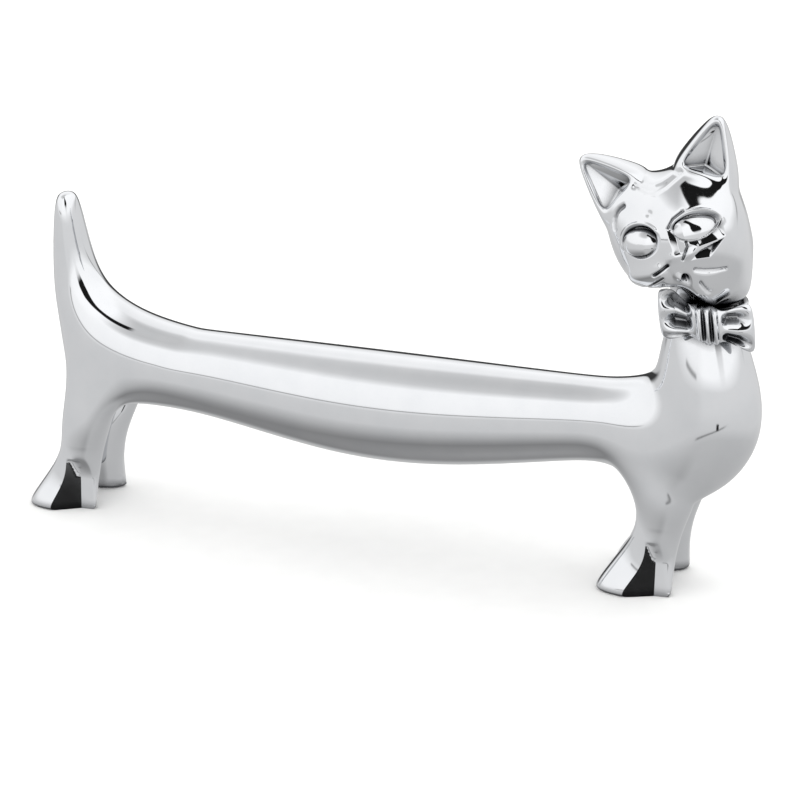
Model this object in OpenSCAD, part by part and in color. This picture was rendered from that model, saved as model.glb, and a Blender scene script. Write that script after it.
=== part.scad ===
// Long cat that stands on four legs, cast in zinc alloy, polished and chromed.
// What it carries lies across its level back, between the upright tail and the neck.
// The origin is on the table, below the middle of the object. The head end is at +X.

/* [Torso] */
// length from the heels of the hind paws to the front of the chest
body_length = 98.4; // [88:0.2:125]
// height of the level back above the table
back_height = 25.5; // [22:0.5:31]
// depth of the torso behind the shoulders
waist_depth = 10.4; // [9:0.1:12.5]
// depth of the belly where it is fullest
belly_depth = 14.2; // [11:0.1:17]
// depth of the torso in front of the hind legs
loin_depth = 10.5; // [9:0.1:12.5]
// width of the torso against its depth
torso_width = 1; // [0.85:0.01:1.15]
// width over the haunches
rump_width = 11.4; // [10:0.1:13]

/* [Tail] */
// height of the tip of the tail above the table
tail_height = 42.6; // [38:0.2:50]
// thickness of the tail
tail_d = 4.1; // [3:0.1:5.5]
// distance from the heels of the hind paws to the middle of the tail
tail_inset = 5; // [4:0.1:7]
// height over which the tail sweeps into the back
tail_sweep = 6.1; // [5:0.1:7.5]

/* [Chest and neck] */
// width of the chest
chest_width = 14; // [12:0.1:16]
// depth from the back to the lowest point of the breast
breast_depth = 15; // [13:0.1:16.5]
// distance from the front of the chest to the middle of the neck
neck_setback = 7.7; // [6.6:0.1:8.5]
// thickness of the neck where it leaves the shoulders
neck_base_d = 10; // [9:0.1:11]
// thickness of the neck at its joint with the head
neck_d = 8.6; // [8:0.1:9.4]
// height of the neck joint above the table
neck_height = 36; // [35:0.2:40]

/* [Legs] */
// distance between the middles of the left and right legs
leg_track = 9.4; // [7.6:0.1:10]
// distance from the front of the chest back to the toes of the fore paws
chest_overhang = 9.1; // [7.5:0.1:11]
// thickness of the leg at the ankle
ankle_d = 5.8; // [4.6:0.1:6.6]
// height of the ankle above the table
ankle_height = 8; // [6.5:0.1:9]
// how far the leg leans forward from the toes to its top
leg_lean = 2.2; // [1:0.1:3]
// length of the paw
paw_length = 9.8; // [8:0.1:11.5]
// width of the paw
paw_width = 5.2; // [4.4:0.1:6]
// height of the rounded rim of the paw
paw_rim = 0.8; // [0.6:0.1:1.6]
// how far the ankles stand inside the middles of the paws
ankle_tuck = 1.4; // [0.4:0.1:1.8]

/* [Head] */
// width of the head over the cheeks
head_width = 16; // [14.5:0.1:17.5]
// depth of the head without the muzzle
head_depth = 15.4; // [14:0.1:17]
// height of the head without the ears
head_height = 13.2; // [12:0.1:14.2]
// height of the eyes above the neck joint, along the head
head_rise = 11.5; // [11:0.1:13]
// lean of the head to its side
head_tilt = 20; // [0:1:26]
// turn of the face from the side towards the chest
head_yaw = 6; // [0:1:15]
// how far the muzzle stands out
muzzle_reach = 1.4; // [0.5:0.1:2]
// distance between the tips of the ears
ear_spread = 17.4; // [14:0.1:19]
// height of the tips of the ears above the eyes
ear_rise = 11; // [9.5:0.1:13]
// depth of the hollow in the front of the ear
ear_hollow = 1.5; // [0.5:0.1:2]
// distance between the roots of the ears
ear_gap = 2; // [1.4:0.1:4]
// thickness of the ear at its root
ear_depth = 5.2; // [4:0.1:6]
// distance between the middles of the eyes
eye_spacing = 7; // [6:0.1:8]
// length of the eye
eye_length = 5.4; // [4:0.1:6]
// height of the eye
eye_height = 3.6; // [2.5:0.1:4.2]
// how far the eyeball stands out
eye_bulge = 0.75; // [0.2:0.05:0.9]

/* [Bow tie] */
// length of the bow over both loops
bow_length = 11.4; // [9:0.1:13]
// height of the loops at their ends
bow_height = 6.3; // [4.5:0.1:6.8]
// thickness of the loops
bow_depth = 2.2; // [1.6:0.1:2.6]
// length of the knot along the bow
knot_length = 2.8; // [2:0.1:3.4]
// height of the knot
knot_height = 4.6; // [3:0.1:5.2]
// turn of the bow from the side towards the chest
bow_turn = 16; // [0:1:60]
// drop of the bow towards the chest
bow_tilt = 8; // [0:1:12]
// slant of the ends of the bow
bow_slant = 7; // [0:1:9]
// depth of the pleats in the loops and the knot
pleat_depth = 0.3; // [0.1:0.05:0.45]
// height of the collar band
collar_height = 2.6; // [2.2:0.1:4]
// thickness of the collar band
collar_thickness = 0.7; // [0.6:0.1:1.2]

/* [Neck joint] */
// thickness of the locating dowel
dowel_d = 3; // [2:0.1:4]
// length of the locating dowel
dowel_length = 10; // [6:0.5:12]
// gap between the dowel and its bores, on the radius
dowel_clearance = 0.05; // [0.02:0.01:0.15]
// gap between the collar band and the neck, on the radius
collar_clearance = 0.05; // [0.02:0.01:0.15]

/* [Hidden] */
$fn = 36;
ball_gain = 1.05;
seat_d = 1.0233 * neck_d;
seat_height = collar_height / 2 + 0.035 * neck_d;
collar_r = seat_d / 2 + collar_clearance + collar_thickness;
collar_half = collar_height / 2;
collar_edge = 0.36 * collar_thickness;
dowel_edge = 0.1 * dowel_d;
bore_depth = 0.52 * dowel_length;
hoop_gain = 1 / 0.902;
paw_gain = 1 / 0.943;
heel_x = -body_length / 2;
chest_x = body_length / 2;
tail_x = heel_x + tail_inset;
neck_x = chest_x - neck_setback;
hind_toe = heel_x + paw_length;
fore_toe = chest_x - chest_overhang;
tuck = min(ankle_tuck, leg_track / 2 - 0.55 * ankle_d);
head_forward = 0.0844 * head_depth;
head_shift = 0.025 * head_width;
chest_swell = 0.0714 * chest_width;
ear_tip_depth = 0.288 * ear_depth;
ear_meet = 0.62;
ear_flare = 1.05;
crown_rise = 0.085;
chin_drop = 0.27;
brow_rise = 0.09;
brow_back = 0.065 * head_depth;
root_forward = 0.091 * head_depth;
root_rise = 0.045 * head_height;
ear_forward = 0.154 * ear_depth;
hollow_rise = 0.173 * ear_depth;
jowl_reach = 0.174 * neck_d;
throat_rise = 0.28 * neck_d;
throat_lean = 0.174 * neck_d;
groove_share = 0.45;
neck_rise = neck_height - back_height;
// the face and the back of the torso reach equally far to either side of the middle
stand_y = (head_forward + head_depth / 2 - belly_depth / 2) / 2 + 0.0195 * head_depth;

function mix(a, b, t) = a + (b - a) * t;
function total(list) = [for (i = list) 1] * list;

// One round of smoothing of a closed skin of quads, given as points and quads.
function refine(skin) =
    let (pts = skin[0], quads = skin[1], nv = len(pts), nf = len(quads))
    let (mids = [for (q = quads) (pts[q[0]] + pts[q[1]] + pts[q[2]] + pts[q[3]]) / 4])
    let (half = [for (f = [0:nf - 1]) for (i = [0:3]) [quads[f][i], quads[f][(i + 1) % 4], f]])
    let (code = [for (h = half) min(h[0], h[1]) * nv + max(h[0], h[1])])
    let (first = [for (n = [0:len(half) - 1]) if (half[n][0] < half[n][1]) n])
    let (known = [for (n = first) [code[n], n]])
    let (slot = search(code, known))
    let (back = [for (n = first) half[n][1] * nv + half[n][0]])
    let (other = search(back, [for (h = half) [h[0] * nv + h[1]]]))
    let (edges = [for (k = [0:len(first) - 1])
        let (h = half[first[k]])
        (pts[h[0]] + pts[h[1]] + mids[h[2]] + mids[half[other[k]][2]]) / 4])
    let (around = search([for (v = [0:nv - 1]) v], half, 0))
    let (corners = [for (v = [0:nv - 1])
        let (ring = around[v], n = len(ring))
        let (face = total([for (h = ring) mids[half[h][2]]]) / n)
        let (mid = total([for (h = ring) (pts[v] + pts[half[h][1]]) / 2]) / n)
        (face + 2 * mid + (n - 3) * pts[v]) / n])
    [concat(corners, edges, mids),
        [for (f = [0:nf - 1]) for (i = [0:3])
            [quads[f][i], nv + slot[4 * f + i], nv + len(edges) + f, nv + slot[4 * f + (i + 3) % 4]]]];

// Each quad is cut along its shorter diagonal.
function cut_quad(p, q) =
    norm(p[q[0]] - p[q[2]]) < norm(p[q[1]] - p[q[3]]) ?
        [[q[0], q[1], q[2]], [q[0], q[2], q[3]]] : [[q[1], q[2], q[3]], [q[1], q[3], q[0]]];

module solid_skin(skin) {
    polyhedron(skin[0], [for (q = skin[1]) each cut_quad(skin[0], q)]);
}

// Triangles of a skin that takes one more round of smoothing only where its quads are picked.
function part_finer(fine, quads, pick) =
    let (rims = [for (f = [0:len(quads) - 1]) if (pick[f]) for (i = [0:3]) fine[1][4 * f + i][1]])
    [for (f = [0:len(quads) - 1])
        let (q = quads[f], c = fine[1][4 * f][2])
        let (ids = [for (i = [0:3]) fine[1][4 * f + i][1]])
        let (mids = [for (e = ids) len(search(e, rims)) > 0 ? e : -1])
        each max(mids) < 0 ? cut_quad(fine[0], q) :
            [for (i = [0:3]) let (a = q[i], b = q[(i + 1) % 4])
                each mids[i] < 0 ? [[c, a, b]] : [[c, a, mids[i]], [c, mids[i], b]]]];

// Ring of eight points round the run of the body, from its highest and lowest point in the side view.
function hoop(top, bottom, width) =
    let (mid = (top + bottom) / 2, arm = hoop_gain * (top - bottom) / 2)
    [for (k = [0:7])
        let (a = 22.5 + 45 * k, p = mid + arm * cos(a))
        [p[0], hoop_gain * width / 2 * sin(a), p[1]]];

function loft_quads(count) =
    [for (r = [0:count - 2]) for (k = [0:7])
        [r * 8 + k, r * 8 + (k + 1) % 8, (r + 1) * 8 + (k + 1) % 8, (r + 1) * 8 + k]];

function end_quads(s) = [[s, s + 1, s + 2, s + 3], [s, s + 3, s + 4, s + 7], [s + 4, s + 5, s + 6, s + 7]];

// Quads of a limb that grows from a base through loops of new points.
function limb_quads(base, start, loops) =
    let (n = len(base))
    let (rows = concat([base], [for (j = [0:loops - 1]) [for (i = [0:n - 1]) start + j * n + i]]))
    [for (j = [0:loops - 1]) for (i = [0:n - 1])
        [rows[j][i], rows[j][(i + 1) % n], rows[j + 1][(i + 1) % n], rows[j + 1][i]]];

function torso_hoop(x, depth) =
    hoop([x, back_height], [x, back_height - depth], depth * torso_width);

loin_x = hind_toe + 0.1423 * body_length;
waist_x = fore_toe - 0.1321 * body_length;
belly_x = (loin_x + waist_x) / 2;
belly_spread = 0.3;
run = [
    hoop([tail_x + 0.25 * tail_d, tail_height], [tail_x - 0.2 * tail_d, tail_height], 0.62 * tail_d),
    hoop([tail_x + 0.42 * tail_d, tail_height - 0.49 * tail_d],
        [tail_x - 0.36 * tail_d, tail_height - 0.41 * tail_d], 1.2 * tail_d),
    hoop([tail_x + 0.56 * tail_sweep, back_height + tail_sweep],
        [tail_x - tail_d / 2, back_height + 0.82 * tail_sweep], mix(tail_d, rump_width, 0.38)),
    hoop([tail_x + 1.13 * tail_sweep, back_height + 0.43 * tail_sweep],
        [tail_x - 0.3 * tail_d, back_height], 0.8 * rump_width),
    hoop([tail_x + 1.97 * tail_sweep, back_height + 0.13 * tail_sweep],
        [tail_x - 0.15 * tail_d, back_height - 0.57 * loin_depth], rump_width),
    hoop([tail_x + 2.95 * tail_sweep, back_height],
        [hind_toe + 1.27 * leg_lean, back_height - 1.04 * loin_depth], 1.02 * rump_width),
    torso_hoop(loin_x, loin_depth),
    torso_hoop(mix(belly_x, loin_x, belly_spread), belly_depth),
    torso_hoop(mix(belly_x, waist_x, belly_spread), belly_depth),
    torso_hoop(waist_x, waist_depth),
    hoop([fore_toe - 0.94 * paw_length, back_height + 0.02 * waist_depth],
        [fore_toe - 0.86 * paw_length, back_height - 0.98 * waist_depth],
        mix(waist_depth * torso_width, chest_width, 0.17)),
    hoop([fore_toe - 0.5 * paw_length, back_height + 0.08 * breast_depth],
        [fore_toe + 0.35 * paw_length, back_height - breast_depth], 0.96 * chest_width),
    hoop([neck_x - 0.53 * neck_base_d, back_height + 0.21 * breast_depth],
        [chest_x + chest_swell, back_height - 0.37 * breast_depth], chest_width),
    hoop([neck_x - 0.5 * neck_base_d, back_height + 0.57 * neck_rise],
        [neck_x + 0.63 * neck_base_d, back_height + 0.38 * neck_rise], 1.12 * neck_base_d),
    hoop([neck_x - 0.5 * neck_d, neck_height - 1.1 * seat_height],
        [neck_x + 0.5 * neck_d, neck_height - 1.1 * seat_height], neck_d),
    hoop([neck_x - 0.44 * neck_d, neck_height - 0.18 * seat_height],
        [neck_x + 0.44 * neck_d, neck_height - 0.18 * seat_height], 0.88 * neck_d)
];
hind_hoop = 4;
fore_hoop = 10;

function leg_loop(heel, toe, z, side, width, inward = 0) =
    let (mid = (heel + toe) / 2, length = toe - heel)
    [for (i = [0:3])
        [mid + paw_gain * length / 2 * [-1, -1, 1, 1][i],
            side * (leg_track / 2 - inward) + paw_gain * width / 2 * [1, -1, -1, 1][i], z]];

function leg_loops(toe, side) =
    let (heel = toe - paw_length, calf = toe - 0.88 * ankle_d)
    [
        leg_loop(calf, toe + leg_lean, ankle_height * 1.5, side, ankle_d * 0.95, tuck * 0.7),
        leg_loop(calf, toe + leg_lean * 0.27, ankle_height, side, ankle_d * 0.78, tuck),
        leg_loop(mix(calf, heel, 0.52), toe, ankle_height * 0.52, side, ankle_d * 0.8, tuck * 0.85),
        leg_loop(heel, toe, paw_rim, side, paw_width),
        leg_loop(heel, toe, 0, side, paw_width),
        leg_loop(heel + paw_rim, toe - paw_rim, 0, side, paw_width - 2 * paw_rim)
    ];

function body_cage() =
    let (count = len(run))
    let (legs = [[hind_hoop, 2, hind_toe, 1], [hind_hoop, 4, hind_toe, -1],
        [fore_hoop, 2, fore_toe, 1], [fore_hoop, 4, fore_toe, -1]])
    let (skin = loft_quads(count))
    let (gone = [for (l = legs) l[0] * 8 + l[1]])
    let (start = count * 8)
    let (shanks = [for (l = legs) each [for (loop = leg_loops(l[2], l[3])) each loop]])
    let (pts = concat([for (h = run) each h], shanks))
    let (kept = [for (n = [0:len(skin) - 1]) if (len(search(n, gone)) == 0) skin[n]])
    let (limbs = [for (n = [0:3]) each limb_quads(skin[gone[n]], start + n * 24, 6)])
    let (soles = [for (n = [0:3]) [for (i = [0:3]) start + n * 24 + 20 + i]])
    let (tip = [for (q = end_quads(0)) [q[3], q[2], q[1], q[0]]])
    [pts, concat(kept, limbs, soles, tip, end_quads(8 * (count - 1)))];

module body_casting() {
    color([0.8, 0.81, 0.83])
    translate([0, stand_y, 0]) difference() {
        union() {
            solid_skin(refine(refine(body_cage())));
            translate([neck_x, 0, neck_height - seat_height]) cylinder(d = seat_d, h = seat_height);
        }
        translate([neck_x, 0, neck_height - bore_depth]) dowel_bore();
    }
}

module dowel_bore() {
    cylinder(d = dowel_d + 2 * dowel_clearance, h = bore_depth);
}

// Grid points on the faces of a cube, four cells along each edge, and the quads between them.
cells = 4;
grid = [for (k = [0:cells]) for (j = [0:cells]) for (i = [0:cells])
    if (min(i, j, k) == 0 || max(i, j, k) == cells) [i, j, k]];
grid_code = [for (g = grid) [g[0] + 10 * g[1] + 100 * g[2]]];
function grid_at(i, j, k) = search([i + 10 * j + 100 * k], grid_code)[0];

function grid_quads() =
    let (n = cells, m = cells - 1)
    concat(
        [for (a = [0:m]) for (b = [0:m]) [[a, b, n], [a, b + 1, n], [a + 1, b + 1, n], [a + 1, b, n]]],
        [for (a = [0:m]) for (b = [0:m]) [[a, b, 0], [a + 1, b, 0], [a + 1, b + 1, 0], [a, b + 1, 0]]],
        [for (a = [0:m]) for (b = [0:m]) [[a, 0, b], [a, 0, b + 1], [a + 1, 0, b + 1], [a + 1, 0, b]]],
        [for (a = [0:m]) for (b = [0:m]) [[a, n, b], [a + 1, n, b], [a + 1, n, b + 1], [a, n, b + 1]]],
        [for (a = [0:m]) for (b = [0:m]) [[0, a, b], [0, a + 1, b], [0, a + 1, b + 1], [0, a, b + 1]]],
        [for (a = [0:m]) for (b = [0:m]) [[n, a, b], [n, a, b + 1], [n, a + 1, b + 1], [n, a + 1, b]]]);

// Swell of the head in the direction dir, strongest at the middle and gone past the spread.
function swell(dir, middle, spread) =
    let (a = acos(min(1, dir * middle / norm(middle))) / spread)
    exp(-a * a);

// The side of the head above the long side of the neck comes down to it in one line.
function jowl(g, p) =
    let (side = g[0] == cells ? 1 : g[0] == cells - 1 ? 0.4 : 0)
    let (low = g[2] == 0 ? 0.85 : g[2] == 1 ? 0.45 : 0)
    let (line = [neck_x + neck_d / 2 + jowl_reach, p[1] * 0.8,
        neck_height + (0.61 + 0.26 * g[2]) * head_rise])
    mix(p, to_head(line), side * low);

function head_point(g) =
    let (q = [for (v = g) tan((v / cells * 2 - 1) * 45)], d = q / norm(q))
    let (push = 1 + muzzle_reach / head_depth * 2 * swell(d, [0, -0.9, -0.42], 27)
        + 0.06 * swell(d, [0.75, -0.5, -0.45], 26) + 0.06 * swell(d, [-0.75, -0.5, -0.45], 26)
        + chin_drop * swell(d, [-0.36, -0.52, -0.78], 30))
    let (taper = 1 - 0.12 * max(0, -d[2]))
    let (inner = g[2] == cells && abs(g[0] - 2) == 1 && abs(g[1] - 2) < 2)
    let (outer = g[2] == cells - 1 && abs(g[0] - 2) == 2 && abs(g[1] - 2) < 2)
    let (wide = taper * (inner ? ear_meet : outer ? ear_flare : 1))
    let (crown = g[2] == cells && max(abs(g[0] - 2), abs(g[1] - 2)) < 2)
    let (lift = crown ? crown_rise * (g[0] == 2 ? 0.2 : 1) * (g[1] == 1 ? 0.6 : 1) : 0)
    ball_gain * push * [d[0] * head_width / 2 * wide, d[1] * head_depth / 2, d[2] * head_height / 2]
        + [0, 0, head_height * (lift - 0.06)] + brow(g) + root(g);

// The forehead runs up to the ears as one slope.
function brow(g) =
    let (corner = abs(g[0] - 2) == 2)
    g[1] > 0 || g[2] < cells ? [0, 0, 0] :
        [0, brow_back * (corner ? 0.4 : 1), head_height * brow_rise * (corner ? 0.6 : 1)];

// The roots of the ears stand forward on that slope.
function root(g) =
    let (side = abs(g[0] - 2), corner = side == 2 && g[2] == cells)
    let (picked = g[1] == 1 && (side == 2 && g[2] > 2 || side == 1 && g[2] == cells))
    picked ? [0, -root_forward * (corner ? 1 : 0.55), corner ? root_rise : 0] : [0, 0, 0];

// Ear: its base is two cells by two; each loop runs inner front, middle, outer front, then behind.
ear_base_left = [[1, 1, 4], [0, 1, 4], [0, 1, 3], [0, 2, 3], [0, 3, 3], [0, 3, 4], [1, 3, 4], [1, 2, 4]];
ear_base_right = [for (g = [7:-1:0]) let (p = ear_base_left[(g + 3) % 8]) [4 - p[0], p[1], p[2]]];
ear_tip = [ear_spread / 2, -0.154 * ear_depth, ear_rise];

function ear_loop(t, hollow, grow) =
    let (inner = mix([ear_gap / 2, 0, 0.48 * head_height], ear_tip, t) - [grow, 0, 0])
    let (outer = mix([0.507 * head_width, 0, 0.145 * head_height], ear_tip, t) + [grow, 0, 0])
    let (half = mix(ear_depth, ear_tip_depth, t) / 2, mid = (inner + outer) / 2)
    let (front = [0, -half - ear_forward * (1 - t), 0], back = [0, half + 0.077 * ear_depth, 0])
    let (lift = hollow_rise * (1 - t))
    [inner + front, mid + front + [0.5 * lift, hollow, lift], outer + front,
        outer + ear_depth * [0.077, 0, 0], outer + back + ear_depth * [0.096, 0, 0],
        mid + back + ear_depth * [0, 0.077, 0.058], inner + back + ear_depth * [-0.038, 0, 0.115],
        inner + ear_depth * [0, 0, 0.096]];

ear_loops = [ear_loop(0.1, 1.6 * ear_hollow, 0), ear_loop(0.88, 0.5 * ear_hollow, 0.058 * ear_depth)];
function flip(p) = [-p[0], p[1], p[2]];

head_mid = [neck_x + head_shift - head_rise * sin(head_tilt), -head_forward,
    neck_height + head_rise * cos(head_tilt)];
head_lean = [[cos(head_tilt), 0, -sin(head_tilt)], [0, 1, 0], [sin(head_tilt), 0, cos(head_tilt)]];
head_turn = [[cos(head_yaw), -sin(head_yaw), 0], [sin(head_yaw), cos(head_yaw), 0], [0, 0, 1]];
function from_head(p) = head_mid + head_lean * (head_turn * p);
function to_head(p) = ((p - head_mid) * head_lean) * head_turn;

neck_base = [[1, 1, 0], [2, 1, 0], [3, 1, 0], [3, 2, 0], [3, 3, 0], [2, 3, 0], [1, 3, 0], [1, 2, 0]];
function neck_loop(z, d) =
    let (r = hoop_gain * d / 2)
    [for (m = [0:7]) let (a = 45 * m - 135) to_head([neck_x + r * cos(a), r * sin(a), z])];

// Ring where the neck runs into the head, as wide as the collar on the side away from the lean.
function throat(m) =
    let (a = 45 * m - 135, r = hoop_gain * neck_d * (0.564 + 0.0756 * cos(a)))
    let (z = neck_height + collar_half + throat_rise - throat_lean * (cos(a) + 0.2 * sin(a)))
    to_head([neck_x + r * cos(a), r * sin(a), z]);

function cap_quads(loop, c) = [[loop[0], loop[1], c, loop[7]], [loop[1], loop[2], loop[3], c],
    [c, loop[3], loop[4], loop[5]], [loop[7], c, loop[5], loop[6]]];

function head_cage() =
    let (collar = [for (g = neck_base) grid_at(g[0], g[1], g[2])])
    let (roots = [ear_base_left, ear_base_right, neck_base])
    let (base = [for (b = roots) [for (g = b) grid_at(g[0], g[1], g[2])]])
    let (mids = [grid_at(0, 2, 4), grid_at(4, 2, 4), grid_at(2, 2, 0)])
    let (right = [for (l = ear_loops) [for (m = [7:-1:0]) l[(m + 3) % 8]]])
    let (left = [for (l = ear_loops) [for (p = l) flip(p)]])
    let (neck = [neck_loop(neck_height + collar_half + 0.024 * neck_d, 0.988 * neck_d),
        neck_loop(neck_height + 0.07 * neck_d, 0.93 * neck_d)])
    let (start = len(grid))
    let (limbs = [left, right, neck])
    let (caps = [flip(ear_tip), ear_tip, to_head([neck_x, 0, neck_height + 0.047 * neck_d])])
    let (pts = [for (n = [0:start - 1])
        let (hit = search(n, mids))
        let (low = search(n, collar))
        len(hit) > 0 ? caps[hit[0]] : len(low) > 0 ? throat(low[0]) : jowl(grid[n], head_point(grid[n]))])
    let (quads = [for (q = grid_quads())
        let (f = [for (g = q) grid_at(g[0], g[1], g[2])])
        if (len([for (v = f) if (len(search(v, mids)) > 0) v]) == 0) f])
    [concat(pts, [for (l = limbs) each [for (loop = l) each loop]]),
        concat(quads, [for (n = [0:2]) each
            concat(limb_quads(base[n], start + n * 16, 2),
                cap_quads([for (i = [0:7]) start + n * 16 + 8 + i], mids[n]))])];

// Eyes: a ball with a groove round it, deepest below.
face_y = -0.13 * head_depth;
face_rim = 0.031 * head_width;
function eye_lift(p) =
    let (out = abs(p[0]) - eye_spacing / 2)
    let (dx = out * 2 / eye_length, dz = (p[2] - 0.12 * out) * 2 / eye_height)
    let (d = sqrt(dx * dx + dz * dz))
    p[1] > face_y || d > 2 ? 0 : eye_bulge * (max(0, 1 - d * d)
        - groove_share * (1 - 0.4 * dz / max(1, d)) * exp(-pow((d - 1.15) / 0.25, 2)));

function in_face(p) =
    p[1] < face_y && abs(p[0]) < (eye_spacing + eye_length) / 2 + face_rim
        && abs(p[2]) < eye_height / 2 + face_rim;
function face(p) = from_head(p + [0, -eye_lift(p), 0]);

module head_casting() {
    skin = refine(refine(head_cage()));
    fine = refine(skin);
    pick = [for (q = skin[1]) in_face((skin[0][q[0]] + skin[0][q[2]]) / 2)];
    color([0.8, 0.81, 0.83])
    translate([0, stand_y, 0]) difference() {
        union() {
            polyhedron([for (p = fine[0]) face(p)], part_finer(fine, skin[1], pick));
            translate([neck_x, 0, neck_height]) cylinder(d = seat_d, h = seat_height);
        }
        translate([neck_x, 0, neck_height]) dowel_bore();
    }
}

module neck_dowel() {
    tip_d = dowel_d - 2 * dowel_edge;
    color([0.6, 0.6, 0.62])
    translate([neck_x, stand_y, neck_height - dowel_length / 2]) {
        cylinder(d1 = tip_d, d2 = dowel_d, h = dowel_edge);
        translate([0, 0, dowel_edge]) cylinder(d = dowel_d, h = dowel_length - 2 * dowel_edge);
        translate([0, 0, dowel_length - dowel_edge]) cylinder(d1 = dowel_d, d2 = tip_d, h = dowel_edge);
    }
}

// Ring of eight points round the bow at the distance u from the knot; v points out of the neck.
function bow_hoop(u, height, depth) =
    let (v = collar_r + 0.41 * bow_depth - 0.4 * u * u / bow_length)
    [for (k = [0:7])
        let (a = 22.5 + 45 * k)
        [u, -v + hoop_gain * depth / 2 * sin(a), hoop_gain * height / 2 * cos(a)]];

bow_half = [
    [1, bow_height * 0.72, bow_depth * 0.6],
    [0.9, bow_height * 1.08, bow_depth * 1.15],
    [knot_length / bow_length + 0.1, knot_height * 0.66, bow_depth * 0.8],
    [knot_length / bow_length, knot_height, bow_depth * 1.5]
];
bow_run = concat(
    [for (b = bow_half) bow_hoop(-b[0] * bow_length / 2, b[1], b[2])],
    [for (n = [3:-1:0]) bow_hoop(bow_half[n][0] * bow_length / 2, bow_half[n][1], bow_half[n][2])]);

function bow_cage() =
    let (count = len(bow_run))
    let (tip = [for (q = end_quads(0)) [q[3], q[2], q[1], q[0]]])
    [[for (h = bow_run) each h], concat(loft_quads(count), tip, end_quads(8 * (count - 1)))];

// Pleats run out of the knot like rays, and round the knot from top to bottom.
function pleat(p) =
    let (u = abs(p[0]), knot = 0.59 * knot_length)
    let (ray = cos(5 * atan2(p[2], u)) * min(1, max(0, (u - knot) / bow_length * 9.5)))
    let (wrap = u < knot ? cos(360 * p[0] / knot_length * 1.4) * 0.7 : 0)
    p[1] > -collar_r - 0.27 * bow_depth ? 0 : pleat_depth * (ray + wrap);

function pleated(skin) = [[for (p = skin[0]) p - [0, pleat(p), 0]], skin[1]];

module bow_tie() {
    color([0.84, 0.85, 0.87])
    translate([neck_x, stand_y, neck_height]) difference() {
        union() {
            rotate_extrude() polygon([[seat_d / 2, -collar_half], [collar_r - collar_edge, -collar_half],
                [collar_r, collar_edge - collar_half], [collar_r, collar_half - collar_edge],
                [collar_r - collar_edge, collar_half], [seat_d / 2, collar_half]]);
            rotate(bow_turn)
                multmatrix([[1, 0, -tan(bow_slant), 0], [0, 1, 0, 0], [-tan(bow_tilt), 0, 1, 0]])
                solid_skin(pleated(refine(refine(bow_cage()))));
        }
        translate([0, 0, -collar_height])
            cylinder(r = seat_d / 2 + collar_clearance, h = 2 * collar_height);
    }
}

body_casting();
head_casting();
bow_tie();
neck_dowel();
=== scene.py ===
import math

import bmesh
import bpy
from mathutils import Matrix, Vector


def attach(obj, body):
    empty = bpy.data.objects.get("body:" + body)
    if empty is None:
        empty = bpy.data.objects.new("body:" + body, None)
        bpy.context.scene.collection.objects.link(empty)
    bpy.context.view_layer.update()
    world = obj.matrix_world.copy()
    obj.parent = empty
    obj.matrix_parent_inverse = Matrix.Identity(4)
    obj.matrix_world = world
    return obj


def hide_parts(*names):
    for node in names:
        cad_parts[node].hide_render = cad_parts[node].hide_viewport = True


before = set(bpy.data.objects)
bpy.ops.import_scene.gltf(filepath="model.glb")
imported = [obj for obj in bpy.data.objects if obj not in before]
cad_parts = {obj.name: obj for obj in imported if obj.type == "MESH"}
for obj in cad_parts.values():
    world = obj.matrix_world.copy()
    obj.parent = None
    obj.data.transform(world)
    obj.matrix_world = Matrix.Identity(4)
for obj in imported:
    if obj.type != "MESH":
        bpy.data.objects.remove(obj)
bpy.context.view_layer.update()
print("frame loaded:", ", ".join(sorted(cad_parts)))

mm = 0.001
standY = 1.25          # the cat's own middle plane, off the frame's
ringGain = 1 / 0.902   # a ring of eight points shrinks by this much when it is subdivided
squareGain = 1 / 0.943  # and one of four points by this much
neck = {"x": 41.5, "height": 36.0, "thick": 8.6, "collarHalf": 1.3}


def mix(a, b, t):
    return a + (b - a) * t


def ease(low, high, value):
    t = min(1, max(0, (value - low) / (high - low)))
    return t * t * (3 - 2 * t)


def bell(value, middle, spread):
    return math.exp(-((value - middle) / spread) ** 2)


def newVerts(made):
    return [g for g in made["geom"] if isinstance(g, bmesh.types.BMVert)]


# Materials

def toLinear(hexColour):
    parts = [int(hexColour[i:i + 2], 16) / 255 for i in (0, 2, 4)]
    return [c / 12.92 if c <= 0.04045 else ((c + 0.055) / 1.055) ** 2.4 for c in parts] + [1]


def addNode(tree, kind, inputs=None, links=None, **settings):
    node = tree.nodes.new(kind)
    for name, value in settings.items():
        setattr(node, name, value)
    for name, value in (inputs or {}).items():
        node.inputs[name].default_value = value
    for name, source in (links or {}).items():
        tree.links.new(source, node.inputs[name])
    return node


def newMaterial(name):
    material = bpy.data.materials.new(name)
    material.use_nodes = True
    material.node_tree.nodes.clear()
    return material, material.node_tree


chromeFinish = {
    "colour": "EDEEF0", "hazeColour": "E2E4E7",
    "waveSize": 9.0, "waveHeight": 0.2, "waveStrength": 0.06,
    "hazeSize": 3.5, "hazeSpan": (0.35, 0.75), "smooth": 0.025, "hazy": 0.07,
    # the recess colour, reach and span are painted shade, mixed into the colour in tight recesses
    "recessShadeColour": "3E3F43", "recessShadeReach": 2.0, "recessShadeSpan": (0.4, 0.88),
}
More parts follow.
